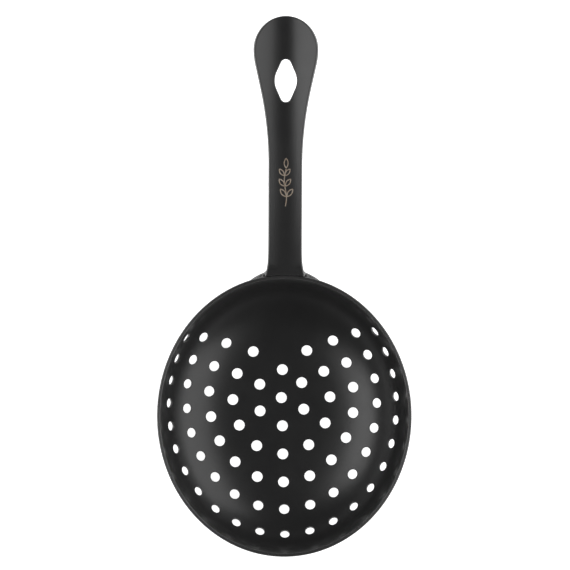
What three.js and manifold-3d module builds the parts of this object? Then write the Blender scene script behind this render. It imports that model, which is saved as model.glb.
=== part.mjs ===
// Julep strainer: an oval pressed bowl full of small round holes, with a separate flat strip handle.
// The strip's lower end is bent down into a flared saddle tab, which hugs the bowl's outer wall
// below the rim and is held there by two weld beads. The other end is a round head with a
// diamond-shaped hanging hole. Nothing on the strainer moves.
//
// Frame: millimetres. The origin is the centre of the small flat on the bowl's underside, +Z is the
// way the bowl opens, and +Y runs from the bowl to the handle's end.

import * as THREE from 'three';
import { mergeVertices } from 'three/addons/utils/BufferGeometryUtils.js';
import Module from 'manifold-3d';

// Bowl
const BOWL_HALF_WIDTH = 37.5;
const BOWL_HALF_LENGTH = 41.5;
const BOWL_DEPTH = 20;
const BOWL_SHEET = 0.8;
const RIM_SHEET = 1; // pressing left the sheet thicker at its rim
const RIM_SHEET_START = 0.9; // share of the bowl's half width where it starts to thicken
const BOWL_FULLNESS = 2.7; // exponent of the wall's curve: 2 would be an ellipse, more is squarer
const BASE_SHARE = 0.1; // the flat at the bottom, as a share of the bowl's half width
const BOWL_SEGMENTS = 42;
const PROFILE_ANGLES = [0, 10, 22, 32, 42, 52, 61, 70, 78, 84, 90];

// Holes: one in the middle of the pattern, then rings that stay open towards the handle
const HOLE_RADIUS = 1.58;
const HOLE_SQUEEZE = 0.22; // how much pressing the bowl shrank the radius of the holes in its wall
const SQUEEZE_START = 0.55; // shares of the bowl's size in plan
const SQUEEZE_END = 0.85;
const SQUEEZE_SPARED = 0.6; // share of the squeeze that the holes nearest the handle are spared
const SPARED_FROM_Y = 8;
const SPARED_TO_Y = 20;
const HOLE_SIDES = 8;
const PATTERN_CENTRE = new THREE.Vector2(-0.9, 5.2);
const PATTERN_TURN = 1.8;
const PATTERN_LEAN = 3.8; // the oval rings of holes lean by this much more
const HEADING_SQUEEZE = 1.3; // holes between the two axes of the pattern are drawn this far to its length
const PITCH_ACROSS = 7.22; // from ring to ring across the bowl, measured along its surface
const PITCH_ALONG = 8.35; // from ring to ring along the bowl, measured along its surface
const RINGS = [
  { holes: 6, step: 61.5, turn: -30 },
  { holes: 11, step: 29.8, turn: 0 },
  { holes: 15, step: 19.3, turn: 0 },
  { holes: 19, step: 14.25, turn: 0 },
  { holes: 23, step: 11.15, turn: 0 },
];
const WRAP_STEP = 0.1;

// Handle strip
const HANDLE_SHEET = 1.5;
const HANDLE_END = 117.65;
const SHANK_HALF_WIDTH = 4.91;
const SHANK_TOP = 73.4;
const TAPER_ANGLE = 12.4;
const WAIST_BLEND_RADIUS = 107.4;
const SHOULDER_RADIUS = 20.2;
const SHOULDER_Y = 107.7;
const HEAD_HALF_WIDTH = 9.4;
const HEAD_SIDE_RADIUS = 10.4;
const HEAD_END_RADIUS = 9.02;
const HANDLE_PITCH = 0.2; // upward slope where the strip leaves the rim
const HANDLE_LEVEL_Y = 110; // where the strip has curved back to level
const FLANK_SLOPE = 0.43; // sideways slope that the trough's flanks tend to
const TROUGH_ROUNDING = 6; // radius-like softening of the trough's bottom
const ROOT_TROUGH = 0.52; // the trough's depth near the bend, as a share of its depth at the head
const TROUGH_FADE = 25; // the trough deepens to its full depth over about this length
const BEND_FADE = 1; // and it flattens out to the bend over about this length
const ROOT_FILLET = 0.72; // how much wider than the shank the strip is on each side at the bend
const ROOT_FILLET_LENGTH = 1.5; // the widening dies away over about this length

// Hanging hole, a diamond with rounded corners
const HOLE_CENTRE_Y = 98.6;
const HOLE_HALF_WIDTH = 3.3;
const HOLE_HALF_LENGTH = 6.28;
const HOLE_SIDE_CORNER = 5.9;
const HOLE_END_CORNER = 1.6;

// Saddle tab
const FIT_GAP = 0.3;
const BEND_RADIUS = 1; // of the sheet's middle surface
const TAB_FLARE_START = 2; // drops are measured down from the rim
const TAB_WIDEST_DROP = 11;
const TAB_DROP = 15.5;
const TAB_HALF_WIDTH = 11.5;

// Weld beads along the tab's upper edges
const BEAD_RADIUS = 0.55;
const BEAD_TOP_DROP = 2.6;
const BEAD_END_DROP = 7.6;
const BEAD_SIDES = 8;
const BEAD_STEPS = 8;

const wasm = await Module();
wasm.setup();

const radians = THREE.MathUtils.degToRad;
const smooth = THREE.MathUtils.smoothstep;

// A closed mesh as a manifold solid: only positions, shared vertices merged, collapsed triangles left out.
function toSolid(geometry) {
  const plain = geometry.clone();
  plain.deleteAttribute('normal');
  plain.deleteAttribute('uv');
  const merged = mergeVertices(plain);
  const corners = merged.index.array;
  const kept = [];
  for (let i = 0; i < corners.length; i += 3) {
    const [a, b, c] = [corners[i], corners[i + 1], corners[i + 2]];
    if (a !== b && b !== c && c !== a) {
      kept.push(a, b, c);
    }
  }
  const mesh = new wasm.Mesh({
    numProp: 3,
    vertProperties: Float32Array.from(merged.attributes.position.array),
    triVerts: Uint32Array.from(kept),
  });
  return new wasm.Manifold(mesh);
}

function toGeometry(solid) {
  const mesh = solid.getMesh();
  const geometry = new THREE.BufferGeometry();
  geometry.setAttribute('position', new THREE.BufferAttribute(mesh.vertProperties, 3));
  geometry.setIndex(new THREE.BufferAttribute(mesh.triVerts, 1));
  geometry.computeVertexNormals();
  return geometry;
}

// ---- Bowl ----

// Height of the bowl's outer surface over a point of its plan.
function bowlHeight(x, y) {
  const share = Math.hypot(x / BOWL_HALF_WIDTH, y / BOWL_HALF_LENGTH);
  const t = THREE.MathUtils.clamp((share - BASE_SHARE) / (1 - BASE_SHARE), 0, 1);
  return BOWL_DEPTH * (1 - (1 - t ** BOWL_FULLNESS) ** (1 / BOWL_FULLNESS));
}

function bowlNormal(x, y) {
  const d = 0.01;
  const slopeX = (bowlHeight(x + d, y) - bowlHeight(x - d, y)) / (2 * d);
  const slopeY = (bowlHeight(x, y + d) - bowlHeight(x, y - d)) / (2 * d);
  return new THREE.Vector3(-slopeX, -slopeY, 1).normalize();
}

// The sheet's closed section for turning about the bowl's axis: outside going up, inside coming down.
function bowlSection() {
  const flat = BASE_SHARE * BOWL_HALF_WIDTH;
  const reach = BOWL_HALF_WIDTH - flat;
  const outside = [new THREE.Vector2(0, 0)];
  const inside = [];
  for (const angle of PROFILE_ANGLES) {
    const t = Math.sin(radians(angle)) ** (2 / BOWL_FULLNESS);
    const w = Math.max(Math.cos(radians(angle)), 0) ** (2 / BOWL_FULLNESS);
    const point = new THREE.Vector2(flat + reach * t, BOWL_DEPTH * (1 - w));
    const power = BOWL_FULLNESS - 1;
    const inward = new THREE.Vector2(-(t ** power) / reach, w ** power / BOWL_DEPTH).normalize();
    outside.push(point);
    const thickening = smooth(point.x / BOWL_HALF_WIDTH, RIM_SHEET_START, 1);
    const sheet = THREE.MathUtils.lerp(BOWL_SHEET, RIM_SHEET, thickening);
    inside.push(point.clone().addScaledVector(inward, sheet));
  }
  inside.reverse();
  return [...outside, ...inside, new THREE.Vector2(0, BOWL_SHEET)];
}

// Half a segment of turn lays a flat facet across each end of the length axis. Set down, the strainer
// leans back towards its handle and lies still on that facet.
function bowlShell() {
  const halfSegment = Math.PI / BOWL_SEGMENTS;
  const shell = new THREE.LatheGeometry(bowlSection(), BOWL_SEGMENTS, halfSegment);
  shell.rotateX(Math.PI / 2);
  const lengthAcrossFlats = BOWL_HALF_WIDTH * Math.cos(halfSegment);
  shell.scale(1, BOWL_HALF_LENGTH / lengthAcrossFlats, 1);
  return shell;
}

// The point reached by walking a given length over the bowl's surface from the pattern's centre.
// The heading is counted from the bowl's tip, positive towards +X.
function wrapped(heading, length) {
  const step = new THREE.Vector2(Math.sin(heading), -Math.cos(heading)).multiplyScalar(WRAP_STEP);
  const point = PATTERN_CENTRE.clone();
  let height = bowlHeight(point.x, point.y);
  let walked = 0;
  while (walked < length) {
    point.add(step);
    const next = bowlHeight(point.x, point.y);
    walked += Math.hypot(WRAP_STEP, next - height);
    height = next;
  }
  return point;
}

function holePoints() {
  const points = [PATTERN_CENTRE];
  RINGS.forEach((ring, index) => {
    for (let i = 0; i < ring.holes; i += 1) {
      const even = radians(PATTERN_TURN + ring.turn + ring.step * (i - (ring.holes - 1) / 2));
      const heading = even - radians(HEADING_SQUEEZE) * Math.sin(2 * even);
      const leaning = heading - radians(PATTERN_LEAN);
      const pitch = 1 / Math.hypot(Math.sin(leaning) / PITCH_ACROSS, Math.cos(leaning) / PITCH_ALONG);
      points.push(wrapped(heading, (index + 1) * pitch));
    }
  });
  return points;
}

// Holes in the wall are squeezed, but less so on the handle's side of the bowl.
function holeRadius(point) {
  const share = Math.hypot(point.x / BOWL_HALF_WIDTH, point.y / BOWL_HALF_LENGTH);
  const squeezed = smooth(share, SQUEEZE_START, SQUEEZE_END);
  const spared = SQUEEZE_SPARED * smooth(point.y, SPARED_FROM_Y, SPARED_TO_Y);
  return HOLE_RADIUS - HOLE_SQUEEZE * squeezed * (1 - spared);
}

// A drill that stands square to the sheet at a point of the plan.
function drillAt(point) {
  const radius = holeRadius(point);
  const drill = new THREE.CylinderGeometry(radius, radius, 8 * BOWL_SHEET, HOLE_SIDES);
  const normal = bowlNormal(point.x, point.y);
  drill.applyQuaternion(new THREE.Quaternion().setFromUnitVectors(new THREE.Vector3(0, 1, 0), normal));
  drill.translate(point.x, point.y, bowlHeight(point.x, point.y));
  return drill;
}

function perforatedBowl() {
  let bowl = toSolid(bowlShell());
  for (const point of holePoints()) {
    bowl = bowl.subtract(toSolid(drillAt(point)));
  }
  return toGeometry(bowl);
}

// ---- Handle ----

const BEND_START_Y = BOWL_HALF_LENGTH + FIT_GAP + HANDLE_SHEET / 2;
const BEND_END_Y = BEND_START_Y + BEND_RADIUS;

// Half the strip's width in plan, from the bend to the head's end.
function stripHalfWidth(y) {
  const taper = radians(TAPER_ANGLE);
  const waistTop = SHANK_TOP + WAIST_BLEND_RADIUS * Math.sin(taper);
  const waistTopHalfWidth = SHANK_HALF_WIDTH + WAIST_BLEND_RADIUS * (1 - Math.cos(taper));
  if (y < SHANK_TOP) {
    return SHANK_HALF_WIDTH + ROOT_FILLET * Math.exp(-(y - BEND_START_Y) / ROOT_FILLET_LENGTH);
  }
  if (y < waistTop) {
    const along = y - SHANK_TOP;
    return SHANK_HALF_WIDTH + WAIST_BLEND_RADIUS - Math.sqrt(WAIST_BLEND_RADIUS ** 2 - along ** 2);
  }
  if (y < SHOULDER_Y - SHOULDER_RADIUS * Math.sin(taper)) {
    return waistTopHalfWidth + (y - waistTop) * Math.tan(taper);
  }
  if (y < SHOULDER_Y) {
    return HEAD_HALF_WIDTH - SHOULDER_RADIUS + Math.sqrt(SHOULDER_RADIUS ** 2 - (SHOULDER_Y - y) ** 2);
  }
  const endCentre = HANDLE_END - HEAD_END_RADIUS;
  const sideCentre = HEAD_HALF_WIDTH - HEAD_SIDE_RADIUS;
  const side = sideCentre + Math.sqrt(HEAD_SIDE_RADIUS ** 2 - (y - SHOULDER_Y) ** 2);
  const end = y > endCentre ? Math.sqrt(Math.max(HEAD_END_RADIUS ** 2 - (y - endCentre) ** 2, 0)) : side;
  const joint = endCentre + (HEAD_END_RADIUS * (endCentre - SHOULDER_Y)) / (HEAD_SIDE_RADIUS - HEAD_END_RADIUS);
  return y > joint ? end : side;
}

// Height of the strip's middle surface: it rises from the rim, levels out, and is a shallow trough.
function stripHeight(x, y) {
  const run = Math.min(y, HANDLE_LEVEL_Y) - BEND_END_Y;
  const rise = HANDLE_PITCH * run * (1 - run / (2 * (HANDLE_LEVEL_Y - BEND_END_Y)));
  const ahead = Math.max(y - BEND_END_Y, 0);
  const depth = 1 - (1 - ROOT_TROUGH) * Math.exp(-ahead / TROUGH_FADE);
  const slope = FLANK_SLOPE * depth * (1 - Math.exp(-ahead / BEND_FADE));
  return BOWL_DEPTH + rise + slope * (Math.hypot(x, TROUGH_ROUNDING) - TROUGH_ROUNDING);
}

function stripNormal(x, y) {
  const d = 0.01;
  const slopeX = (stripHeight(x + d, y) - stripHeight(x - d, y)) / (2 * d);
  const slopeY = (stripHeight(x, y + d) - stripHeight(x, y - d)) / (2 * d);
  return new THREE.Vector3(-slopeX, -slopeY, 1).normalize();
}

// Half the tab's width at a drop below the rim: flared, then rounded off at its lower end.
function tabHalfWidth(drop) {
  const root = SHANK_HALF_WIDTH + ROOT_FILLET;
  if (drop < TAB_WIDEST_DROP) {
    return root + (TAB_HALF_WIDTH - root) * smooth(drop, TAB_FLARE_START, TAB_WIDEST_DROP);
  }
  const down = (drop - TAB_WIDEST_DROP) / (TAB_DROP - TAB_WIDEST_DROP);
  return TAB_HALF_WIDTH * Math.sqrt(Math.max(1 - down ** 2, 0));
}

// Point and outward normal of the bowl's outer wall, on the handle's side, at a drop below the rim.
function wallAt(x, drop) {
  const w = drop / BOWL_DEPTH;
  const t = (1 - w ** BOWL_FULLNESS) ** (1 / BOWL_FULLNESS);
  const share = BASE_SHARE + (1 - BASE_SHARE) * t;
  const y = BOWL_HALF_LENGTH * Math.sqrt(share ** 2 - (x / BOWL_HALF_WIDTH) ** 2);
  const power = BOWL_FULLNESS - 1;
  const outward = t ** power / ((1 - BASE_SHARE) * share);
  const normal = new THREE.Vector3(
    (outward * x) / BOWL_HALF_WIDTH ** 2,
    (outward * y) / BOWL_HALF_LENGTH ** 2,
    -(w ** power) / BOWL_DEPTH,
  ).normalize();
  return { point: new THREE.Vector3(x, y, BOWL_DEPTH - drop), normal };
}

// One crosswise row of the handle: a function from a side share (-1 to 1) to the point on the strip's
// middle surface and the direction of the face that looks at the bowl, and further up the handle, up.
function tabRow(drop) {
  return (side) => {
    const wall = wallAt(side * tabHalfWidth(drop), drop);
    const point = wall.point.addScaledVector(wall.normal, FIT_GAP + HANDLE_SHEET / 2);
    return { point, face: wall.normal.negate() };
  };
}

function bendRow(angle) {
  const turn = radians(angle);
  const drop = BEND_RADIUS * (1 - Math.sin(turn));
  const ahead = BEND_RADIUS * (1 - Math.cos(turn));
  return (side) => {
    const x = side * stripHalfWidth(BEND_START_Y + ahead);
    const wall = wallAt(x, BEND_RADIUS);
    const start = wall.point.addScaledVector(wall.normal, FIT_GAP + HANDLE_SHEET / 2);
    const point = new THREE.Vector3(start.x, start.y + ahead, BOWL_DEPTH - drop);
    const face = wall.normal.multiplyScalar(-Math.cos(turn));
    face.z = Math.sin(turn);
    return { point, face: face.normalize() };
  };
}

function stripRow(y) {
  return (side) => {
    const x = side * stripHalfWidth(y);
    return { point: new THREE.Vector3(x, y, stripHeight(x, y)), face: stripNormal(x, y) };
  };
}

function handleRows() {
  const rows = [];
  for (let angle = 90; angle > 0; angle -= 15) {
    rows.push(tabRow(TAB_WIDEST_DROP + (TAB_DROP - TAB_WIDEST_DROP) * Math.sin(radians(angle))));
  }
  for (let drop = TAB_WIDEST_DROP; drop > BEND_RADIUS + 0.5; drop -= 1) {
    rows.push(tabRow(drop));
  }
  for (let angle = 0; angle < 80; angle += 15) {
    rows.push(bendRow(angle));
  }
  for (let y = BEND_END_Y + 1; y < SHANK_TOP; y += 2 + (y - BEND_END_Y) / 4) {
    rows.push(stripRow(y));
  }
  for (let y = SHANK_TOP; y < SHOULDER_Y - 1; y += 2.5) {
    rows.push(stripRow(y));
  }
  for (let angle = 0; angle < 90; angle += 10) {
    rows.push(stripRow(SHOULDER_Y + (HANDLE_END - SHOULDER_Y) * Math.sin(radians(angle))));
  }
  rows.push(stripRow(HANDLE_END));
  return rows;
}

// A closed slab whose middle surface runs through the given rows.
function slab(rows, thickness, columns) {
  const width = columns + 1;
  const positions = [];
  const index = [];
  for (const half of [thickness / 2, -thickness / 2]) {
    for (const row of rows) {
      for (let j = 0; j <= columns; j += 1) {
        const { point, face } = row((2 * j) / columns - 1);
        positions.push(...point.addScaledVector(face, half).toArray());
      }
    }
  }
  const under = rows.length * width;
  const quad = (a, b, c, d) => index.push(a, b, c, a, c, d);
  for (let i = 0; i < rows.length - 1; i += 1) {
    for (let j = 0; j < columns; j += 1) {
      const a = i * width + j;
      const b = a + 1;
      const c = b + width;
      const d = a + width;
      quad(a, b, c, d);
      quad(under + a, under + d, under + c, under + b);
    }
    const left = i * width;
    const right = left + columns;
    quad(left, left + width, under + left + width, under + left);
    quad(right, under + right, under + right + width, right + width);
  }
  for (let j = 0; j < columns; j += 1) {
    const first = j;
    const last = (rows.length - 1) * width + j;
    quad(first, under + first, under + first + 1, first + 1);
    quad(last, last + 1, under + last + 1, under + last);
  }
  const geometry = new THREE.BufferGeometry();
  geometry.setAttribute('position', new THREE.Float32BufferAttribute(positions, 3));
  geometry.setIndex(index);
  return geometry;
}

// The hanging hole's outline: four corner arcs joined by straight sides.
function hangingHoleShape() {
  const sideX = HOLE_HALF_WIDTH - HOLE_SIDE_CORNER;
  const endY = HOLE_HALF_LENGTH - HOLE_END_CORNER;
  const reach = Math.hypot(sideX, endY);
  const lean = Math.atan2(endY, -sideX) - Math.acos((HOLE_SIDE_CORNER - HOLE_END_CORNER) / reach);
  const shape = new THREE.Shape();
  shape.absarc(sideX, HOLE_CENTRE_Y, HOLE_SIDE_CORNER, -lean, lean);
  shape.absarc(0, HOLE_CENTRE_Y + endY, HOLE_END_CORNER, lean, Math.PI - lean);
  shape.absarc(-sideX, HOLE_CENTRE_Y, HOLE_SIDE_CORNER, Math.PI - lean, Math.PI + lean);
  shape.absarc(0, HOLE_CENTRE_Y - endY, HOLE_END_CORNER, Math.PI + lean, 2 * Math.PI - lean);
  shape.closePath();
  return shape;
}

function handleStrip() {
  const strip = toSolid(slab(handleRows(), HANDLE_SHEET, 10));
  const punch = new THREE.ExtrudeGeometry(hangingHoleShape(), {
    depth: BOWL_DEPTH,
    bevelEnabled: false,
    curveSegments: 4,
  });
  punch.translate(0, 0, BOWL_DEPTH - 2);
  return toGeometry(strip.subtract(toSolid(punch)));
}

// ---- Welds ----

// A bead that follows the tab's flared upper edge on one side of the handle.
function weldBead(side) {
  const reach = FIT_GAP + BEAD_RADIUS;
  const route = [];
  for (let i = 0; i <= BEAD_STEPS; i += 1) {
    const drop = THREE.MathUtils.lerp(BEAD_TOP_DROP, BEAD_END_DROP, i / BEAD_STEPS);
    const flare = (tabHalfWidth(drop + 0.1) - tabHalfWidth(drop - 0.1)) / 0.2;
    const length = Math.hypot(1, flare);
    const x = tabHalfWidth(drop) + reach / length;
    const wall = wallAt(side * x, drop - (reach * flare) / length);
    route.push(wall.point.addScaledVector(wall.normal, reach));
  }
  const section = new THREE.Shape();
  for (let i = 0; i < BEAD_SIDES; i += 1) {
    const angle = (2 * Math.PI * i) / BEAD_SIDES;
    const corner = [BEAD_RADIUS * Math.cos(angle), BEAD_RADIUS * Math.sin(angle)];
    if (i === 0) {
      section.moveTo(...corner);
    } else {
      section.lineTo(...corner);
    }
  }
  section.closePath();
  return new THREE.ExtrudeGeometry(section, {
    steps: BEAD_STEPS,
    bevelEnabled: false,
    extrudePath: new THREE.CatmullRomCurve3(route),
  });
}

// ---- Assembly ----

const coating = new THREE.MeshStandardMaterial({ color: 0x1b1b1c, roughness: 0.45, metalness: 0.1 });

function piece(name, geometry) {
  const mesh = new THREE.Mesh(geometry, coating.clone());
  mesh.name = name;
  return mesh;
}

const strainer = new THREE.Group();
strainer.add(piece('perforated_bowl', perforatedBowl()));
strainer.add(piece('handle', handleStrip()));
strainer.add(piece('weld_left', weldBead(-1)));
strainer.add(piece('weld_right', weldBead(1)));

export default strainer;
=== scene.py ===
import math

import bmesh
import bpy
import numpy as np
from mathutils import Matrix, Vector
from mathutils.geometry import delaunay_2d_cdt


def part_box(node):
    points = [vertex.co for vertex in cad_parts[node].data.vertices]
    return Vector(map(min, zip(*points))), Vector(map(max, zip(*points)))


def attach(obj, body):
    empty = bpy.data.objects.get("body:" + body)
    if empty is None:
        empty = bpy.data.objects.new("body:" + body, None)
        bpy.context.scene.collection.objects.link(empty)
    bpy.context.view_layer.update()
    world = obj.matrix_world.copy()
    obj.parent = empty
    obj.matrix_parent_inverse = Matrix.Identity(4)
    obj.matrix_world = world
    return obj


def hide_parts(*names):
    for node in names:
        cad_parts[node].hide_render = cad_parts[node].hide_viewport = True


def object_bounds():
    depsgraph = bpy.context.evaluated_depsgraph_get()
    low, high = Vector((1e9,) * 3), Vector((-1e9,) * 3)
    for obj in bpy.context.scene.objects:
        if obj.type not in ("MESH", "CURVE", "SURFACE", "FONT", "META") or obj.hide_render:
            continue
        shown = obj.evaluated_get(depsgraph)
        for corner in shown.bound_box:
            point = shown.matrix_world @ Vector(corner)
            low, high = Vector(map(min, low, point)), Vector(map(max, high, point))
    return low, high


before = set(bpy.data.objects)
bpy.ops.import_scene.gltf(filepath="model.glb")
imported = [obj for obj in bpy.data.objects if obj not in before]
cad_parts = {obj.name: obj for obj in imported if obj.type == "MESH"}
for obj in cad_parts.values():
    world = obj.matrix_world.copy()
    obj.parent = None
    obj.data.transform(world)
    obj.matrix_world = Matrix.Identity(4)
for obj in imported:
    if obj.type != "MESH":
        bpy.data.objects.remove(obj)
CAD_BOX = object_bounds()
MM = 0.001

# ---- Sizes taken from the frame ----

BOWL_LOW, BOWL_HIGH = (np.array(corner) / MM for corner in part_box("perforated_bowl"))
HALF_WIDTH = (BOWL_HIGH[0] - BOWL_LOW[0]) / 2
HALF_LENGTH = (BOWL_HIGH[1] - BOWL_LOW[1]) / 2
DEPTH = BOWL_HIGH[2] - BOWL_LOW[2]
HANDLE_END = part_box("handle")[1][1] / MM

# ---- Driving dimensions, in millimetres and degrees ----

# Bowl
BOWL_SHEET = 0.8
RIM_SHEET = 1.0
RIM_SHEET_START = 0.9  # share of the bowl's half width where the sheet starts to thicken
FULLNESS = 2.7  # exponent of the wall's curve: 2 would be an ellipse, more is squarer
BASE_SHARE = 0.1  # the flat at the bottom, as a share of the bowl's half width
RIM_FILLET = 0.37
RIM_POINTS = 340
PROFILE_POINTS = 1500
BOWL_SPACING = 0.85
BOWL_GRID_MARGIN = 0.8
BOWL_RING_SHIFT = 2.4  # turns each ring of grid points against the last, in radians for each millimetre

# Holes: one in the middle of the pattern, then rings given as (holes, step in degrees, turn in degrees)
HOLE_RADIUS = 1.58
HOLE_SQUEEZE = 0.22  # how much pressing the bowl shrank the radius of the holes in its wall
SQUEEZE_START = 0.55  # shares of the bowl's size in plan
SQUEEZE_END = 0.85
SQUEEZE_SPARED = 0.6  # share of the squeeze that the holes nearest the handle are spared
SPARED_FROM_Y = 8.0
SPARED_TO_Y = 20.0
HOLE_FILLET = 0.2
HOLE_POINTS = 30
HOLE_SEARCH = 2.0  # how far along a hole's axis the wall is searched for
HOLE_SEARCH_STEPS = 40
PATTERN_CENTRE = (-0.9, 5.2)
PATTERN_TURN = 1.8
PATTERN_LEAN = 3.8  # the oval rings of holes lean by this much more
HEADING_SQUEEZE = 1.3  # draws holes between the pattern's axes this many degrees towards its length
PITCH_ACROSS = 7.22  # from ring to ring, measured along the bowl's surface
PITCH_ALONG = 8.35
WRAP_REACH = 60.0  # length in plan of the walks that place the holes
WRAP_POINTS = 2401
RINGS = [(6, 61.5, -30.0), (11, 29.8, 0.0), (15, 19.3, 0.0), (19, 14.25, 0.0), (23, 11.15, 0.0)]

# Handle strip
HANDLE_SHEET = 1.5
SHANK_HALF_WIDTH = 4.91
SHANK_TOP = 73.4
TAPER_ANGLE = 12.4
WAIST_BLEND_RADIUS = 107.4
SHOULDER_RADIUS = 20.2
SHOULDER_Y = 107.7
HEAD_HALF_WIDTH = 9.4
HEAD_SIDE_RADIUS = 10.4
HEAD_END_RADIUS = 9.02
HANDLE_PITCH = 0.2  # upward slope where the strip leaves the rim
HANDLE_LEVEL = 110.0  # y where the strip has curved back to level
FLANK_SLOPE = 0.43  # sideways slope that the trough's flanks tend to
TROUGH_ROUNDING = 6.0  # the trough's bottom is round over about this half width
ROOT_TROUGH = 0.52  # the trough's depth near the bend, as a share of its full depth
TROUGH_FADE = 25.0  # the trough deepens to its full depth over about this length
BEND_FADE = 1.0  # the trough flattens out to the bend over about this length
ROOT_FADE = 4.0  # the bowl's curve in plan dies away in the strip over about this length
TWIST = 0.025  # sideways slope of a slight twist near the root
TWIST_START = 20.0
TWIST_END = 50.0
HANDLE_FILLET = 0.35
HANDLE_SPACING = 0.6
HANDLE_GRID_MARGIN = 0.9
OUTLINE_STEPS = 3000
EDGE_SPACING = 0.4
BEND_REACH = 1.2  # the outline's points are crowded within this distance of the bend's middle
BEND_CROWDING = 4.0

# Hanging hole, a diamond with rounded corners
HANG_CENTRE = 98.6
HANG_HALF_WIDTH = 3.3
HANG_HALF_LENGTH = 6.28
HANG_SIDE_CORNER = 5.9
HANG_END_CORNER = 1.6

# Saddle tab and bend
FIT_GAP = 0.05
BEND_RADIUS = 1.2  # of the sheet's middle surface
BEND_CORNER = 0.28  # of the tight corner on the upper face
ROOT_FILLET = 0.92  # how much wider than the shank the strip is on each side at the bend
ROOT_FILLET_LENGTH = 1.4  # the widening dies away over about this length
TAB_FLARE_START = 3.0  # drops are measured down from the rim
TAB_WIDEST_DROP = 11.0
TAB_DROP = 15.5
TAB_HALF_WIDTH = 11.5

# Weld beads along the tab's upper edges
BEAD_RADIUS = 0.64
BEAD_OUT = 0.35  # from the tab's edge to the bead's middle, as a share of the radius
BEAD_LIFT = 0.55  # from the wall to the bead's middle, as a share of the radius
BEAD_STRETCH = 1.15  # the bead is this many times wider along the wall than off it
BEAD_TOP_DROP = 2.4
BEAD_END_DROP = 8.0
BEAD_RIPPLE = 0.75  # from ripple to ripple
BEAD_RIPPLE_DEPTH = 0.13
BEAD_WANDER = 0.12
BEAD_STEPS = 90
BEAD_SIDES = 16

# Etched sprig
LINE_WIDTH = 0.3
LINE_PROUD = 0.02
LINE_SUNK = 0.05
SPRIG_FOOT = 61.8
SPRIG_TOP = 76.0
STEM_SWAY = 0.35
PAIRS_AT = (0.24, 0.52, 0.8)  # places of the leaf pairs, as shares of the stem
LEAF_LEAN = 38.0
LEAF_LENGTH = 2.9
LEAF_HALF_WIDTH = 0.62
LEAF_SHORTENING = 0.7  # leaves get smaller up the stem
LEAF_NARROWING = 0.12
LEAF_GAP = 0.3  # from the stem's middle to the root of a leaf in a pair
TOP_LEAF_ROOM = 3.2  # what the stem leaves free below the sprig's top
TOP_LEAF_GAP = 0.25
TOP_LEAF_LENGTH = 2.8
TOP_LEAF_HALF_WIDTH = 0.6

# Rounded edges: the corner points of each fillet, and how worn the fillet and the wall beyond it look
FILLET_TURNS = (22.5, 45, 67.5, 90)
FILLET_WEAR = 1.0
WALL_WEAR = 0.7
SLOPE_STEP = 0.01  # for slopes that are taken as differences

# Studio and camera
FLOOR_REACH = 4000.0
FLOOR_GAP = 0.2
SKY_LEVELS = ((0.06, 1.0), (0.16, 0.15), (0.5, 0.03))  # brightness by the height of the view
SKY_GAIN = (1.5, 9.0)  # from straight ahead to straight to the side
PICTURE_SPAN = 2.2376  # the square picture spans this many bowl widths at the rim's height
AIM = (0.03, 0.48)  # the camera's aim from the middle of the CAD model
LENS = 700.0
SENSOR = 36.0
ROLL = 0.255

# ---- Bowl surface ----
# A point of the bowl is named by its place on a flat blank: the walk along the profile from the centre,
# laid out at the point's bearing. A surface function gives the sheet's two faces and their normals.

def bowl_profile():
    """The outer wall's section: radius, height, inward normal and the walk from the centre."""
    angle = np.radians(np.linspace(0, 90, PROFILE_POINTS))
    reach = HALF_WIDTH * (1 - BASE_SHARE)
    t = np.sin(angle) ** (2 / FULLNESS)
    w = np.clip(np.cos(angle), 0, None) ** (2 / FULLNESS)
    r = np.concatenate([[0], HALF_WIDTH * BASE_SHARE + reach * t])
    z = np.concatenate([[0], DEPTH * (1 - w)])
    nr = np.concatenate([[0], -t ** (FULLNESS - 1) / reach])
    nz = np.concatenate([[1 / DEPTH], w ** (FULLNESS - 1) / DEPTH])
    size = np.hypot(nr, nz)
    walk = np.concatenate([[0], np.cumsum(np.hypot(np.diff(r), np.diff(z)))])
    return r, z, nr / size, nz / size, walk


PROFILE_R, PROFILE_Z, NORMAL_R, NORMAL_Z, PROFILE_S = bowl_profile()
RIM_WALK = PROFILE_S[-1]
STRETCH = HALF_LENGTH / HALF_WIDTH


def unit(vectors):
    return vectors / np.linalg.norm(vectors, axis=-1, keepdims=True)


def smooth(value, start, end):
    t = np.clip((value - start) / (end - start), 0, 1)
    return t * t * (3 - 2 * t)


def bowl_surface(blank):
    walk = np.hypot(blank[:, 0], blank[:, 1])
    bearing = np.arctan2(blank[:, 1], blank[:, 0])
    r = np.interp(walk, PROFILE_S, PROFILE_R)
    z = np.interp(walk, PROFILE_S, PROFILE_Z)
    nr = np.interp(walk, PROFILE_S, NORMAL_R)
    nz = np.interp(walk, PROFILE_S, NORMAL_Z)
    outside = np.stack([r * np.cos(bearing), STRETCH * r * np.sin(bearing), z], 1)
    inward = unit(np.stack([nr * np.cos(bearing), nr * np.sin(bearing) / STRETCH, nz], 1))
    sheet = BOWL_SHEET + (RIM_SHEET - BOWL_SHEET) * smooth(r / HALF_WIDTH, RIM_SHEET_START, 1)
    return outside, outside + sheet[:, None] * inward, -inward, inward


def bowl_height(x, y):
    share = np.hypot(x / HALF_WIDTH, y / HALF_LENGTH)
    t = np.clip((share - BASE_SHARE) / (1 - BASE_SHARE), 0, 1)
    return DEPTH * (1 - (1 - t ** FULLNESS) ** (1 / FULLNESS))


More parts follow.
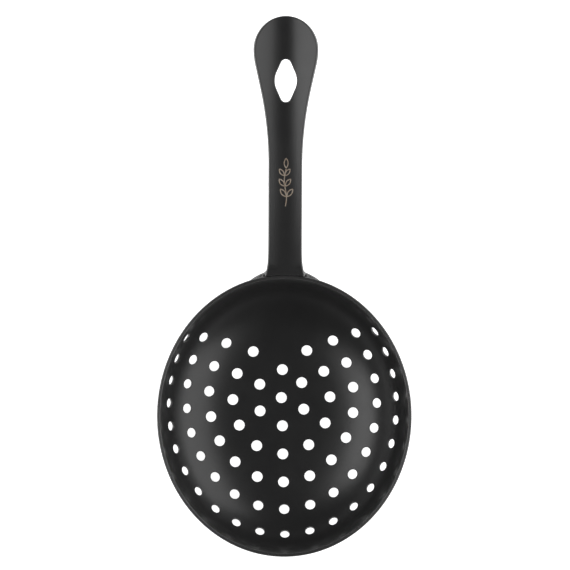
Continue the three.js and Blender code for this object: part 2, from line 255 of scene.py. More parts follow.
def blank_of(x, y):
    """Place on the blank of the surface point over (x, y)."""
    share = np.hypot(x / HALF_WIDTH, y / HALF_LENGTH)
    bearing = np.arctan2(y / HALF_LENGTH, x / HALF_WIDTH)
    walk = np.interp(share * HALF_WIDTH, PROFILE_R, PROFILE_S)
    return np.stack([walk * np.cos(bearing), walk * np.sin(bearing)], -1)


def wrapped(heading, length):
    """The plan point reached by walking over the bowl from the pattern's centre."""
    step = np.linspace(0, WRAP_REACH, WRAP_POINTS)
    x = PATTERN_CENTRE[0] + math.sin(heading) * step
    y = PATTERN_CENTRE[1] - math.cos(heading) * step
    rise = np.diff(bowl_height(x, y))
    walked = np.concatenate([[0], np.cumsum(np.hypot(np.diff(step), rise))])
    reach = np.interp(length, walked, step)
    return PATTERN_CENTRE[0] + math.sin(heading) * reach, PATTERN_CENTRE[1] - math.cos(heading) * reach


def hole_points():
    points = [PATTERN_CENTRE]
    for number, (holes, step, turn) in enumerate(RINGS, 1):
        for i in range(holes):
            heading = math.radians(PATTERN_TURN + turn + step * (i - (holes - 1) / 2))
            heading -= math.radians(HEADING_SQUEEZE) * math.sin(2 * heading)
            leaning = heading - math.radians(PATTERN_LEAN)
            pitch = 1 / math.hypot(math.sin(leaning) / PITCH_ACROSS, math.cos(leaning) / PITCH_ALONG)
            points.append(wrapped(heading, number * pitch))
    return points


def hole_radius(x, y):
    """Holes in the wall are squeezed, but less so on the handle's side of the bowl."""
    squeezed = smooth(math.hypot(x / HALF_WIDTH, y / HALF_LENGTH), SQUEEZE_START, SQUEEZE_END)
    spared = SQUEEZE_SPARED * smooth(y, SPARED_FROM_Y, SPARED_TO_Y)
    return HOLE_RADIUS - HOLE_SQUEEZE * squeezed * (1 - spared)


def round_hole(centre):
    """A punched hole's edge on the blank, as a function of how far outside the hole it runs."""
    middle, _, _, axis = (a[0] for a in bowl_surface(blank_of(*[np.array([c]) for c in centre])))
    radius = hole_radius(*centre)
    across = unit(np.cross([0, 1, 0], axis))
    along = np.cross(axis, across)
    turn = np.linspace(0, 2 * np.pi, HOLE_POINTS, endpoint=False)[:, None]
    ring = np.cos(turn) * across + np.sin(turn) * along

    def loop(margin):
        flat = middle + (radius + margin) * ring
        low, high = np.full(len(flat), -HOLE_SEARCH), np.full(len(flat), HOLE_SEARCH)
        for _ in range(HOLE_SEARCH_STEPS):
            half = (low + high) / 2
            spot = flat + half[:, None] * axis
            inside = spot[:, 2] > bowl_height(spot[:, 0], spot[:, 1])
            high = np.where(inside, half, high)
            low = np.where(inside, low, half)
        spot = flat + high[:, None] * axis
        return blank_of(spot[:, 0], spot[:, 1])

    return loop


def rim_loop(margin):
    turn = np.linspace(0, 2 * np.pi, RIM_POINTS, endpoint=False)
    return (RIM_WALK - margin) * np.stack([np.cos(turn), np.sin(turn)], 1)


def bowl_grid(spacing):
    """Points spread evenly over the blank in rings."""
    points = [(0.0, 0.0)]
    walk = spacing
    while walk < RIM_WALK - BOWL_GRID_MARGIN:
        count = round(2 * math.pi * walk / spacing)
        shift = walk * BOWL_RING_SHIFT
        points += [(walk * math.cos(a), walk * math.sin(a))
                   for a in (shift + 2 * math.pi * i / count for i in range(count))]
        walk += spacing
    return np.array(points)


# ---- Handle surface ----
# A point of the handle is named by x across the strip and its station along it: the station is y on the
# strip, then runs on round the bend and down the tab. The upper face, which looks at the bowl on the tab,
# turns a tight corner at the bend, while the under face follows the sheet's own bend.

TAB_OFFSET = FIT_GAP + HANDLE_SHEET / 2
BEND_TURN = math.pi / 2 - math.atan(HANDLE_PITCH)
BEND_TOP = HALF_LENGTH + TAB_OFFSET + BEND_RADIUS * (1 - math.cos(BEND_TURN))
BEND_FOOT = BEND_TOP - BEND_RADIUS * BEND_TURN
TAB_FOOT = BEND_FOOT - (TAB_DROP - BEND_RADIUS)
BEND_TOP_DROP = BEND_RADIUS * (1 - math.sin(BEND_TURN))


def wall_at(x, drop):
    """Point and outward normal of the bowl's outer wall at a drop below the rim."""
    w = np.clip(drop / DEPTH, 1e-6, 1)
    t = (1 - w ** FULLNESS) ** (1 / FULLNESS)
    share = BASE_SHARE + (1 - BASE_SHARE) * t
    y = HALF_LENGTH * np.sqrt(share ** 2 - (x / HALF_WIDTH) ** 2)
    outward = t ** (FULLNESS - 1) / ((1 - BASE_SHARE) * share)
    normal = np.stack([outward * x / HALF_WIDTH ** 2, outward * y / HALF_LENGTH ** 2,
                       -w ** (FULLNESS - 1) / DEPTH], -1)
    return np.stack([x, y, DEPTH - drop], -1), unit(normal)


def strip_height(x, station):
    run = np.minimum(station, HANDLE_LEVEL) - BEND_TOP
    rise = HANDLE_PITCH * run * (1 - run / (2 * (HANDLE_LEVEL - BEND_TOP)))
    ahead = np.maximum(station - BEND_TOP, 0)
    depth = 1 - (1 - ROOT_TROUGH) * np.exp(-ahead / TROUGH_FADE)
    past_bend = 1 - np.exp(-(ahead / BEND_FADE) ** 2)
    trough = FLANK_SLOPE * depth * (np.hypot(x, TROUGH_ROUNDING) - TROUGH_ROUNDING)
    twist = TWIST * (1 - smooth(ahead, TWIST_START, TWIST_END)) * x
    return DEPTH - BEND_TOP_DROP + rise + past_bend * (trough - twist)


def handle_middle(x, station):
    drop = np.where(station < BEND_FOOT, BEND_RADIUS + BEND_FOOT - station, BEND_RADIUS)
    wall, normal = wall_at(x, drop)
    start = wall + TAB_OFFSET * normal
    turn = np.clip((station - BEND_FOOT) / BEND_RADIUS, 0, BEND_TURN)
    bend = start.copy()
    bend[..., 1] += BEND_RADIUS * (1 - np.cos(turn))
    bend[..., 2] = DEPTH - BEND_RADIUS * (1 - np.sin(turn))
    fade = np.exp(-np.maximum(station - BEND_TOP, 0) / ROOT_FADE)
    strip = np.stack([x + (start[..., 0] - x) * fade,
                      station + (start[..., 1] - HALF_LENGTH - TAB_OFFSET) * fade,
                      strip_height(x, station)], -1)
    on_tab = (station < BEND_FOOT)[..., None]
    on_bend = (station < BEND_TOP)[..., None]
    return np.where(on_tab, start, np.where(on_bend, bend, strip))


def corner_shift(station):
    """How far the tight corner stands out beyond a plain bend of the upper face, in y and z."""
    plain = BEND_RADIUS + HANDLE_SHEET / 2
    leg = (plain - BEND_CORNER) * math.tan(BEND_TURN / 2)
    turn = np.clip((station - BEND_FOOT) / BEND_RADIUS, 0, BEND_TURN)
    whole = 2 * leg + BEND_CORNER * BEND_TURN
    walk = turn / BEND_TURN * whole
    round_turn = np.clip((walk - leg) / BEND_CORNER, 0, BEND_TURN)
    reach = (plain - BEND_CORNER) / math.cos(BEND_TURN / 2)
    y = -reach * math.cos(BEND_TURN / 2) - BEND_CORNER * np.cos(round_turn)
    z = reach * math.sin(BEND_TURN / 2) + BEND_CORNER * np.sin(round_turn)
    before = np.minimum(walk - leg, 0)
    after = np.maximum(walk - leg - BEND_CORNER * BEND_TURN, 0)
    y += after * math.sin(BEND_TURN)
    z += before + after * math.cos(BEND_TURN)
    return y + plain * np.cos(turn), z - plain * np.sin(turn)


def handle_faces(x, station):
    d = SLOPE_STEP
    across = handle_middle(x + d, station) - handle_middle(x - d, station)
    along = handle_middle(x, station + d) - handle_middle(x, station - d)
    face = unit(np.cross(across, along))
    middle = handle_middle(x, station)
    high = middle + face * HANDLE_SHEET / 2
    y, z = corner_shift(station)
    high[..., 1] += y
    high[..., 2] += z
    return middle - face * HANDLE_SHEET / 2, high


def handle_surface(place):
    x, station = place[:, 0], place[:, 1]
    d = SLOPE_STEP
    low, high = handle_faces(x, station)
    normals = []
    for right, left, far, near in zip(handle_faces(x + d, station), handle_faces(x - d, station),
                                      handle_faces(x, station + d), handle_faces(x, station - d)):
        normals.append(unit(np.cross(right - left, far - near)))
    return low, high, -normals[0], normals[1]


def tab_half_width(drop):
    root = SHANK_HALF_WIDTH + ROOT_FILLET
    flared = root + (TAB_HALF_WIDTH - root) * smooth(drop, TAB_FLARE_START, TAB_WIDEST_DROP)
    down = np.clip((drop - TAB_WIDEST_DROP) / (TAB_DROP - TAB_WIDEST_DROP), 0, 1)
    return np.where(drop < TAB_WIDEST_DROP, flared, TAB_HALF_WIDTH * np.sqrt(1 - down ** 2))


def strip_half_width(y):
    """Half width over y: the shank, a blend into the straight taper, the shoulder and the round head."""
    widening = ROOT_FILLET * np.exp(-(y - HALF_LENGTH - TAB_OFFSET) / ROOT_FILLET_LENGTH)
    taper = math.radians(TAPER_ANGLE)
    blend = WAIST_BLEND_RADIUS
    waist = SHANK_HALF_WIDTH + blend - np.sqrt(blend ** 2 - np.clip(y - SHANK_TOP, 0, blend) ** 2)
    waist_top = SHANK_TOP + blend * math.sin(taper)
    straight = SHANK_HALF_WIDTH + blend * (1 - math.cos(taper)) + (y - waist_top) * math.tan(taper)
    below = np.clip(SHOULDER_Y - y, 0, SHOULDER_RADIUS)
    shoulder = HEAD_HALF_WIDTH - SHOULDER_RADIUS + np.sqrt(SHOULDER_RADIUS ** 2 - below ** 2)
    above = np.clip(y - SHOULDER_Y, 0, HEAD_SIDE_RADIUS)
    side = HEAD_HALF_WIDTH - HEAD_SIDE_RADIUS + np.sqrt(HEAD_SIDE_RADIUS ** 2 - above ** 2)
    end_centre = HANDLE_END - HEAD_END_RADIUS
    end = np.sqrt(np.clip(HEAD_END_RADIUS ** 2 - (y - end_centre) ** 2, 0, None))
    joint = end_centre + HEAD_END_RADIUS * (end_centre - SHOULDER_Y) / (HEAD_SIDE_RADIUS - HEAD_END_RADIUS)
    shoulder_start = SHOULDER_Y - SHOULDER_RADIUS * math.sin(taper)
    choices = [y < SHANK_TOP, y < waist_top, y < shoulder_start, y < SHOULDER_Y, y < joint]
    return np.select(choices, [SHANK_HALF_WIDTH + widening, waist, straight, shoulder, side], end)


def handle_half_width(station):
    turn = np.clip((station - BEND_FOOT) / BEND_RADIUS, 0, BEND_TURN)
    y = np.maximum(station, HALF_LENGTH + TAB_OFFSET + BEND_RADIUS * (1 - np.cos(turn)))
    on_tab = tab_half_width(BEND_RADIUS + BEND_FOOT - station)
    return np.where(station < BEND_FOOT, on_tab, strip_half_width(y))


def spread_along(points, spacing, crowding=1.0):
    """Points along an open line, closer together by the crowding factor."""
    length = np.concatenate([[0], np.cumsum(np.linalg.norm(np.diff(points, axis=0), axis=1) * crowding)])
    at = np.linspace(0, length[-1], max(2, round(length[-1] / spacing)) + 1)
    return np.stack([np.interp(at, length, points[:, k]) for k in range(points.shape[1])], 1)


def offset_loop(loop, margin):
    """Moves a closed line sideways, to the left of the way it runs."""
    ahead = unit(np.roll(loop, -1, 0) - np.roll(loop, 1, 0))
    return loop + margin * np.stack([-ahead[:, 1], ahead[:, 0]], 1)


def handle_outline(margin):
    """The strip's and the tab's whole edge, as a closed line over x and the station."""
    ease = np.sin(np.linspace(-np.pi / 2, np.pi / 2, OUTLINE_STEPS))
    station = (TAB_FOOT + HANDLE_END) / 2 + (HANDLE_END - TAB_FOOT) / 2 * ease
    at_bend = np.abs(station[1:] - (BEND_FOOT + BEND_TOP) / 2) < BEND_REACH
    crowding = np.where(at_bend, BEND_CROWDING, 1.0)
    right = spread_along(np.stack([handle_half_width(station), station], 1), EDGE_SPACING, crowding)
    left = right[-2:0:-1] * [-1, 1]
    return offset_loop(np.concatenate([right, left]), margin)


def hanging_hole(margin):
    """The diamond's four rounded corners, each an arc that meets the next on their common tangent."""
    side_x = HANG_HALF_WIDTH - HANG_SIDE_CORNER
    end_y = HANG_HALF_LENGTH - HANG_END_CORNER
    reach = math.hypot(side_x, end_y)
    lean = math.atan2(end_y, -side_x) - math.acos((HANG_SIDE_CORNER - HANG_END_CORNER) / reach)
    arcs = [
        (side_x, 0, HANG_SIDE_CORNER, -lean, lean),
        (0, end_y, HANG_END_CORNER, lean, math.pi - lean),
        (-side_x, 0, HANG_SIDE_CORNER, math.pi - lean, math.pi + lean),
        (0, -end_y, HANG_END_CORNER, math.pi + lean, 2 * math.pi - lean),
    ]
    points = []
    for x, y, radius, start, stop in arcs:
        turn = np.linspace(start, stop, 40)
        points.append(np.stack([x + radius * np.cos(turn), y + radius * np.sin(turn)], 1))
    loop = np.concatenate(points + [points[0][:1]])
    return offset_loop(spread_along(loop, EDGE_SPACING)[:-1], -margin) + [0, HANG_CENTRE]


def handle_grid():
    """Points over the strip and the tab, in rows that crowd together at the bend."""
    rows = np.concatenate([
        np.arange(TAB_FOOT + HANDLE_SPACING, BEND_FOOT - 1, HANDLE_SPACING),
        np.arange(BEND_FOOT - 0.7, BEND_FOOT + 0.45, 0.2),
        np.arange(BEND_FOOT + 0.5, BEND_TOP - 0.5, 0.05),
        np.arange(BEND_TOP - 0.4, BEND_TOP + 2, 0.2),
        np.arange(BEND_TOP + 2.4, HANDLE_END - HANDLE_SPACING, HANDLE_SPACING),
    ])
    points = []
    for number, station in enumerate(rows):
        half = float(handle_half_width(np.array([station]))[0]) - HANDLE_GRID_MARGIN
        if half <= 0:
            continue
        count = max(1, round(2 * half / HANDLE_SPACING))
        shift = 0.25 if number % 2 else -0.25
        points += [(-half + 2 * half * (i + 0.5 + shift) / count, station) for i in range(count)]
    return np.array(points)


# ---- Meshes ----

def new_piece(name, vertices, faces, material, edge=None, normals=None):
    """A closed mesh in metres, smooth shaded. edge is 1 on worn edges; normals override where not zero."""
    mesh = bpy.data.meshes.new(name)
    mesh.from_pydata((np.asarray(vertices) * MM).tolist(), [], [list(map(int, f)) for f in faces])
    shaper = bmesh.new()
    shaper.from_mesh(mesh)
    bmesh.ops.recalc_face_normals(shaper, faces=shaper.faces)
    shaper.to_mesh(mesh)
    shaper.free()
    mesh.shade_smooth()
    if normals is not None:
        own = np.array([tuple(n.vector) for n in mesh.vertex_normals])
        known = np.linalg.norm(normals, axis=1) > 0.5
        own[known] = normals[known]
        mesh.normals_split_custom_set_from_vertices(own.tolist())
    worn = mesh.attributes.new("edge", "FLOAT", "POINT")
    worn.data.foreach_set("value", np.zeros(len(mesh.vertices)) if edge is None else edge)
    mesh.materials.append(material)
    piece = bpy.data.objects.new(name, mesh)
    bpy.context.scene.collection.objects.link(piece)
    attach(piece, "root")
    return piece


def inside(loop, points):
    """Which points lie inside a closed line."""
    x, y = points[:, 0][:, None], points[:, 1][:, None]
    x0, y0 = loop[:, 0][None], loop[:, 1][None]
    x1, y1 = np.roll(x0, -1, 1), np.roll(y0, -1, 1)
    crosses = (y0 > y) != (y1 > y)
    at = x0 + (y - y0) * (x1 - x0) / np.where(y1 == y0, 1, y1 - y0)
    return (crosses & (x < at)).sum(1) % 2 == 1


def fill_outline(loops, points):
    """Triangles inside the first loop and outside the rest. The points begin with the loops' own."""
    owner = np.concatenate([np.full(len(loop), k) for k, loop in enumerate(loops)])
    owner = np.concatenate([owner, np.full(len(points) - len(owner), -1)])
    fixed = []
    start = 0
    for loop in loops:
        fixed += [(start + i, start + (i + 1) % len(loop)) for i in range(len(loop))]
        start += len(loop)
    flat = delaunay_2d_cdt([Vector(p) for p in points], fixed, [], 0, 1e-7)
    source = [origin[0] for origin in flat[3]]
    triangles = np.array([[source[i] for i in face] for face in flat[2]])
    own = owner[triangles]
    single = (own[:, 0] >= 0) & (own[:, 0] == own[:, 1]) & (own[:, 1] == own[:, 2])
    middles = points[triangles].mean(1)
    drop = np.zeros(len(triangles), bool)
    for k, loop in enumerate(loops):
        mine = np.flatnonzero(single & (own[:, 0] == k))
        if len(mine):
            hit = inside(loop, middles[mine])
            drop[mine] = ~hit if k == 0 else hit
    return triangles[~drop]


def fillet_steps(fillet, sheet):
    """Steps round one fillet, across the wall and round the other fillet, as (margin, depth)."""
    turns = np.radians(FILLET_TURNS)
    lower = [(fillet * (1 - math.sin(a)), fillet * (1 - math.cos(a))) for a in turns]
    return lower + [(margin, sheet - depth) for margin, depth in reversed(lower)]


def sheet_mesh(surface, edges, fillets, grid, sheet, collar, keep_off):
    """A sheet with rounded edges. edges[0] is the outline's loop function and the rest are holes'.

    Each edge gets a loop at its fillet's end, a collar of points a little further in, and a rounded wall.
    Returns vertices, faces, an edge mark and the known normals."""
    loops = [edge(fillet) for edge, fillet in zip(edges, fillets)]
    collars = [edge(fillet + collar) for edge, fillet in zip(edges, fillets)]
    guards = [edge(fillet + collar + keep_off) for edge, fillet in zip(edges, fillets)]
    free = inside(guards[0], grid)
    for guard in guards[1:]:
        middle = guard.mean(0)
        near = np.linalg.norm(grid - middle, axis=1) < np.linalg.norm(guard - middle, axis=1).max()
        near[near] = inside(guard, grid[near])
        free &= ~near
    points = np.concatenate(loops + collars + [grid[free]])
    triangles = fill_outline(loops, points)

    low, high, low_normal, high_normal = surface(points)
    count = len(points)
    vertices = [low, high]
    known = [low_normal, high_normal]
    worn = [np.zeros(2 * count)]
    faces = [tuple(t[::-1]) for t in triangles] + [tuple(t + count) for t in triangles]
    total = 2 * count
    start = 0
    for edge, fillet, loop in zip(edges, fillets, loops):
        size = len(loop)
        rings = [np.arange(start, start + size)]
        for margin, depth in fillet_steps(fillet, sheet):
            low, high, _, _ = surface(edge(margin))
            vertices.append(low + depth / sheet * (high - low))
            known.append(np.zeros((size, 3)))
            worn.append(np.full(size, FILLET_WEAR if margin > 0 else WALL_WEAR))
            rings.append(np.arange(total, total + size))
            total += size
        rings.append(np.arange(start + count, start + count + size))
        for one, two in zip(rings, rings[1:]):
            faces += [(one[i], one[(i + 1) % size], two[(i + 1) % size], two[i]) for i in range(size)]
        start += size
    return np.concatenate(vertices), faces, np.concatenate(worn), np.concatenate(known)


def make_bowl(material):
    holes = [round_hole(centre) for centre in hole_points()]
    shape = sheet_mesh(bowl_surface, [rim_loop] + holes, [RIM_FILLET] + [HOLE_FILLET] * len(holes),
                       bowl_grid(BOWL_SPACING), BOWL_SHEET, collar=0.35, keep_off=0.4)
    vertices, faces, worn, normals = shape
    bowl = new_piece("bowl_perforated", vertices, faces, material, worn, normals)
    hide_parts("perforated_bowl")
    return bowl


def make_handle(material):
    shape = sheet_mesh(handle_surface, [handle_outline, hanging_hole], [HANDLE_FILLET, HANDLE_FILLET],
                       handle_grid(), HANDLE_SHEET, collar=0.3, keep_off=0.25)
    vertices, faces, worn, normals = shape
    handle = new_piece("handle_strip", vertices, faces, material, worn, normals)
    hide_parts("handle")
    return handle


# ---- Weld beads ----

def weld_route(side):
    """Centre line of the bead, in the corner between the wall and the tab's flared edge."""
    drop = np.linspace(BEAD_TOP_DROP, BEAD_END_DROP, BEAD_STEPS)
    step = 0.1
    flare = (tab_half_width(drop + step) - tab_half_width(drop - step)) / (2 * step)
    length = np.hypot(1, flare)
    out = BEAD_OUT * BEAD_RADIUS
    wall, normal = wall_at(side * (tab_half_width(drop) + out / length), drop - out * flare / length)
    return wall + BEAD_LIFT * BEAD_RADIUS * normal, normal


def make_weld(name, node, side, material):
    route, normal = weld_route(side)
    ahead = unit(np.gradient(route, axis=0))
    across = unit(np.cross(ahead, normal))
    share = np.linspace(0, 1, BEAD_STEPS)
    length = np.linalg.norm(np.diff(route, axis=0), axis=1).sum()
    ripple = 1 + BEAD_RIPPLE_DEPTH * np.cos(2 * np.pi * share * length / BEAD_RIPPLE + side)
    wander = 1 + BEAD_WANDER * np.sin(9.7 * share + 2 * side)
    close = np.sqrt(np.clip(1 - np.abs(2 * share - 1) ** 12, 0, 1))
    radius = BEAD_RADIUS * ripple * wander * close
    turn = np.linspace(0, 2 * np.pi, BEAD_SIDES, endpoint=False)
    out = np.cos(turn)[None, :, None] * normal[:, None]
    along_wall = BEAD_STRETCH * np.sin(turn)[None, :, None] * across[:, None]
    rings = (route[:, None] + radius[:, None, None] * (out + along_wall))[1:-1]
    steps = len(rings)
    vertices = np.concatenate([rings.reshape(-1, 3), route[:1], route[-1:]])
    faces = []
    for i in range(steps - 1):
        low, high = i * BEAD_SIDES, (i + 1) * BEAD_SIDES
        for j in range(BEAD_SIDES):
            k = (j + 1) % BEAD_SIDES
            faces.append((low + j, low + k, high + k, high + j))
    last = (steps - 1) * BEAD_SIDES
    for j in range(BEAD_SIDES):
        k = (j + 1) % BEAD_SIDES
        faces.append((steps * BEAD_SIDES, k, j))
        faces.append((steps * BEAD_SIDES + 1, last + j, last + k))
    weld = new_piece(name, vertices, faces, material)
    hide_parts(node)
    return weld


# ---- Etched sprig ----

def stem_at(share):
    sway = STEM_SWAY * np.sin(share * 2.2 * np.pi)
    return np.stack([sway, SPRIG_FOOT + (SPRIG_TOP - TOP_LEAF_ROOM - SPRIG_FOOT) * share], -1)


def leaf_outline(root, lean, length, half_width):
    """A pointed leaf: two mirrored arcs from root to tip."""
    share = np.linspace(0, 1, 18)
    bulge = half_width * np.sin(np.pi * share) ** 0.8
    side = np.stack([bulge, length * share], 1)
    loop = np.concatenate([side, (side * [-1, 1])[-2:0:-1]])
    c, s = math.cos(lean), math.sin(lean)
    return root + np.stack([c * loop[:, 0] + s * loop[:, 1], -s * loop[:, 0] + c * loop[:, 1]], 1)


def add_line(points, closed, vertices, faces):
    """A thin flat bar that follows a line drawn on the handle's upper face."""
    ahead = np.roll(points, -1, 0) - np.roll(points, 1, 0)
    if not closed:
        ahead[0], ahead[-1] = points[1] - points[0], points[-1] - points[-2]
    ahead = unit(ahead)
    across = np.stack([-ahead[:, 1], ahead[:, 0]], 1) * LINE_WIDTH / 2
    corners = []
    for shift in (across, -across):
        _, top, _, face = handle_surface(points + shift)
        for height in (-LINE_SUNK, LINE_PROUD):
            corners.append(top + face * height)
    start = sum(len(v) for v in vertices)
    size = len(points)
    vertices += corners
    low_a, top_a, low_b, top_b = (start + k * size for k in range(4))
    sides = [(top_a, top_b), (top_b, low_b), (low_b, low_a), (low_a, top_a)]
    for i in range(size if closed else size - 1):
        j = (i + 1) % size
        faces += [(one + i, one + j, two + j, two + i) for one, two in sides]
    if not closed:
        for i in (0, size - 1):
            faces.append((top_a + i, top_b + i, low_b + i, low_a + i))


def make_sprig(material):
    vertices, faces = [], []
    add_line(stem_at(np.linspace(0, 1, 40)), False, vertices, faces)
    for share in PAIRS_AT:
        root = stem_at(np.array(share))
        for side in (-1, 1):
            lean = side * math.radians(LEAF_LEAN)
            away = LEAF_GAP * np.array([math.sin(lean), math.cos(lean)])
            length = LEAF_LENGTH - LEAF_SHORTENING * share
            half_width = LEAF_HALF_WIDTH - LEAF_NARROWING * share
            add_line(leaf_outline(root + away, lean, length, half_width), True, vertices, faces)
    top_root = stem_at(np.array(1.0)) + [0, TOP_LEAF_GAP]
    add_line(leaf_outline(top_root, 0.0, TOP_LEAF_LENGTH, TOP_LEAF_HALF_WIDTH), True, vertices, faces)
    sprig = new_piece("etched_sprig", np.concatenate(vertices), faces, material)
    sprig.data.shade_flat()
    return sprig


# ---- Materials ----

def node_material(name):
    material = bpy.data.materials.new(name)
    material.use_nodes = True
    nodes, links = material.node_tree.nodes, material.node_tree.links
    shader = nodes["Principled BSDF"]
    return material, nodes, links, shader


def add_noise(nodes, links, size_mm, detail=2.0, rough=0.5):
    """Noise whose lumps are about size_mm across, in the object's own space."""
    place = nodes.new("ShaderNodeTexCoord")
    noise = nodes.new("ShaderNodeTexNoise")
    noise.inputs["Scale"].default_value = 1 / (size_mm * MM)
    noise.inputs["Detail"].default_value = detail
    noise.inputs["Roughness"].default_value = rough
    links.new(place.outputs["Object"], noise.inputs["Vector"])
    return noise.outputs["Fac"]


def add_range(nodes, links, value, low, high, to_low, to_high):
    ranged = nodes.new("ShaderNodeMapRange")
    for socket, number in zip(("From Min", "From Max", "To Min", "To Max"), (low, high, to_low, to_high)):
        ranged.inputs[socket].default_value = number
    links.new(value, ranged.inputs["Value"])
    return ranged.outputs["Result"]


def mix_colour(nodes, links, share, one, two):
    mix = nodes.new("ShaderNodeMix")
    mix.data_type = "RGBA"
    for socket, colour in (("A", one), ("B", two)):
        target = next(i for i in mix.inputs if i.name == socket and i.type == "RGBA")
        if isinstance(colour, tuple):
            target.default_value = (*colour, 1)
        else:
            links.new(colour, target)
    links.new(share, mix.inputs["Factor"])
    return next(o for o in mix.outputs if o.type == "RGBA")


def add_bump(nodes, links, shader, layers):
    """Stacks bumps given as (height, depth in mm)."""
    below = None
    for height, depth in layers:
        bump = nodes.new("ShaderNodeBump")
        bump.inputs["Strength"].default_value = 1.0
        bump.inputs["Distance"].default_value = depth * MM
        links.new(height, bump.inputs["Height"])
        if below is not None:
            links.new(below, bump.inputs["Normal"])
        below = bump.outputs["Normal"]
    links.new(below, shader.inputs["Normal"])


def coating_material():
    """Satin black coating: fine orange-peel grain, soft sheen changes and thinner colour on the edges."""
    material, nodes, links, shader = node_material("satin_black_coating")
    patches = add_range(nodes, links, add_noise(nodes, links, 9.0), 0.35, 0.65, 0, 1)
    body = mix_colour(nodes, links, patches, (0.0165, 0.0165, 0.0168), (0.0185, 0.0185, 0.0186))
    edge = nodes.new("ShaderNodeAttribute")
    edge.attribute_name = "edge"
    rubbed = add_range(nodes, links, add_noise(nodes, links, 8.0), 0.3, 0.7, 0.6, 1)
    worn = nodes.new("ShaderNodeMath")
    worn.operation = "MULTIPLY"
    links.new(edge.outputs["Fac"], worn.inputs[0])
    links.new(rubbed, worn.inputs[1])
    coat = mix_colour(nodes, links, worn.outputs[0], body, (0.032, 0.032, 0.032))
    links.new(coat, shader.inputs["Base Color"])
    sheen = add_range(nodes, links, add_noise(nodes, links, 5.0, 4.0), 0.3, 0.7, 0.275, 0.305)
    links.new(sheen, shader.inputs["Roughness"])
    shader.inputs["Specular IOR Level"].default_value = 0.5
    shader.inputs["Sheen Weight"].default_value = 0.06
    shader.inputs["Sheen Roughness"].default_value = 0.5
    grain = add_noise(nodes, links, 0.22, 3.0, 0.6)
    waves = add_noise(nodes, links, 3.0, 1.0)
    add_bump(nodes, links, shader, [(waves, 0.0015), (grain, 0.003)])
    return material


def weld_material():
    """The coating over rough weld metal, rubbed lighter on the ripples."""
    material, nodes, links, shader = node_material("coated_weld")
    spots = add_range(nodes, links, add_noise(nodes, links, 0.7, 3.0), 0.4, 0.7, 0, 1)
    links.new(mix_colour(nodes, links, spots, (0.02, 0.02, 0.02), (0.055, 0.055, 0.055)),
              shader.inputs["Base Color"])
    sheen = add_range(nodes, links, add_noise(nodes, links, 0.5, 2.0), 0.3, 0.7, 0.26, 0.4)
    links.new(sheen, shader.inputs["Roughness"])
    add_bump(nodes, links, shader, [(add_noise(nodes, links, 0.35, 3.0), 0.012)])
    return material


def etched_material():
    """Bare bronze-toned metal in the etched lines, streaked by the etching beam."""
    material, nodes, links, shader = node_material("etched_bronze")
    tone = add_range(nodes, links, add_noise(nodes, links, 0.6, 3.0), 0.35, 0.65, 0, 1)
    bronze = mix_colour(nodes, links, tone, (0.34, 0.26, 0.19), (0.5, 0.43, 0.36))
    links.new(bronze, shader.inputs["Base Color"])
    sheen = add_range(nodes, links, add_noise(nodes, links, 0.2, 2.0), 0.3, 0.7, 0.35, 0.55)
    links.new(sheen, shader.inputs["Roughness"])
    shader.inputs["Metallic"].default_value = 0.6
    add_bump(nodes, links, shader, [(add_noise(nodes, links, 0.12, 2.0), 0.01)])
    return material


def floor_material():
    """White lit table top."""
    material, nodes, links, shader = node_material("pale_floor")
    tint = add_range(nodes, links, add_noise(nodes, links, 400.0), 0.3, 0.7, 0, 1)
    white = mix_colour(nodes, links, tint, (0.86, 0.86, 0.86), (0.88, 0.88, 0.88))
    links.new(white, shader.inputs["Base Color"])
    shader.inputs["Roughness"].default_value = 0.9
    shader.inputs["Specular IOR Level"].default_value = 0.1
    shader.inputs["Emission Color"].default_value = (1, 1, 1, 1)
    shader.inputs["Emission Strength"].default_value = 0.9
    return material


# ---- Stage: floor, light and camera ----

def make_floor():
    shaper = bmesh.new()
    bmesh.ops.create_grid(shaper, x_segments=8, y_segments=8, size=FLOOR_REACH * MM)
    mesh = bpy.data.meshes.new("floor")
    shaper.to_mesh(mesh)
    shaper.free()
    mesh.materials.append(floor_material())
    floor = bpy.data.objects.new("floor", mesh)
    floor.location.z = CAD_BOX[0].z - FLOOR_GAP * MM
    bpy.context.scene.collection.objects.link(floor)
    return floor


def make_softbox(name, lean, distance, width, length, radiance, along):
    """A softbox that faces the Y axis from above, leaning from the vertical towards +X.

    Its distance from the axis, its width, its length and its place along the axis are in metres."""
    light = bpy.data.lights.new(name, "AREA")
    light.shape = "RECTANGLE"
    light.size = width
    light.size_y = length
    light.energy = math.pi * width * length * radiance
    lamp = bpy.data.objects.new(name, light)
    turn = math.radians(lean)
    lamp.location = (distance * math.sin(turn), along, distance * math.cos(turn))
    lamp.rotation_euler = (0, turn, 0)
    bpy.context.scene.collection.objects.link(lamp)
    return lamp


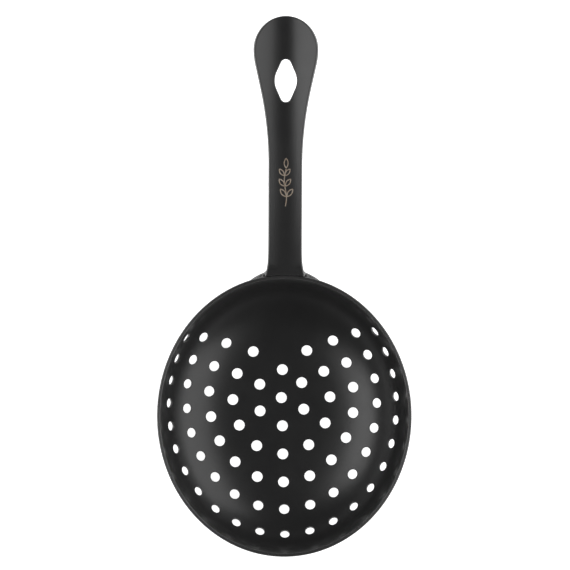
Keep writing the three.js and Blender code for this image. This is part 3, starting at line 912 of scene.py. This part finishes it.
def make_world():
    """Studio surroundings: dark overhead and bright near the horizon, most of all to both sides."""
    world = bpy.data.worlds.new("studio")
    world.use_nodes = True
    nodes, links = world.node_tree.nodes, world.node_tree.links
    place = nodes.new("ShaderNodeTexCoord")
    split = nodes.new("ShaderNodeSeparateXYZ")
    links.new(place.outputs["Generated"], split.inputs[0])
    ramp = nodes.new("ShaderNodeValToRGB")
    for position, level in SKY_LEVELS:
        element = ramp.color_ramp.elements.new(position)
        element.color = (level, level, level, 1)
    ramp.color_ramp.elements[0].color = (1, 1, 1, 1)
    ramp.color_ramp.elements[-1].color = (0.02, 0.02, 0.02, 1)
    links.new(split.outputs["Z"], ramp.inputs["Fac"])
    square = nodes.new("ShaderNodeMath")
    square.operation = "MULTIPLY"
    links.new(split.outputs["X"], square.inputs[0])
    links.new(split.outputs["X"], square.inputs[1])
    background = nodes["Background"]
    links.new(add_range(nodes, links, square.outputs[0], 0, 1, *SKY_GAIN), background.inputs["Strength"])
    links.new(ramp.outputs["Color"], background.inputs["Color"])
    bpy.context.scene.world = world


def make_camera():
    """Straight down on the open bowl, handle towards the top, from far away."""
    rim = CAD_BOX[0].z + DEPTH * MM
    span = PICTURE_SPAN * 2 * HALF_WIDTH * MM
    camera = bpy.data.cameras.new("camera")
    camera.lens = LENS
    camera.sensor_width = SENSOR
    eye = bpy.data.objects.new("camera", camera)
    middle_y = (CAD_BOX[0].y + CAD_BOX[1].y) / 2
    eye.location = (AIM[0] * MM, middle_y + AIM[1] * MM, rim + span * LENS / SENSOR)
    eye.rotation_euler = (0, 0, math.radians(ROLL))
    camera.clip_end = 20
    bpy.context.scene.collection.objects.link(eye)
    bpy.context.scene.camera = eye
    return eye


def main():
    coating = coating_material()
    welds = weld_material()
    make_bowl(coating)
    make_handle(coating)
    make_weld("weld_bead_left", "weld_left", -1, welds)
    make_weld("weld_bead_right", "weld_right", 1, welds)
    make_sprig(etched_material())
    make_floor()
    make_softbox("softbox_right", lean=45.2, distance=0.6, width=0.46, length=0.92,
                 radiance=1.9, along=0.11)
    make_softbox("softbox_left", lean=-31, distance=0.6, width=0.27, length=0.46,
                 radiance=2.85, along=0.03)
    make_world()
    make_camera()
    bpy.context.scene.view_settings.view_transform = "Standard"
    bpy.context.view_layer.update()


main()
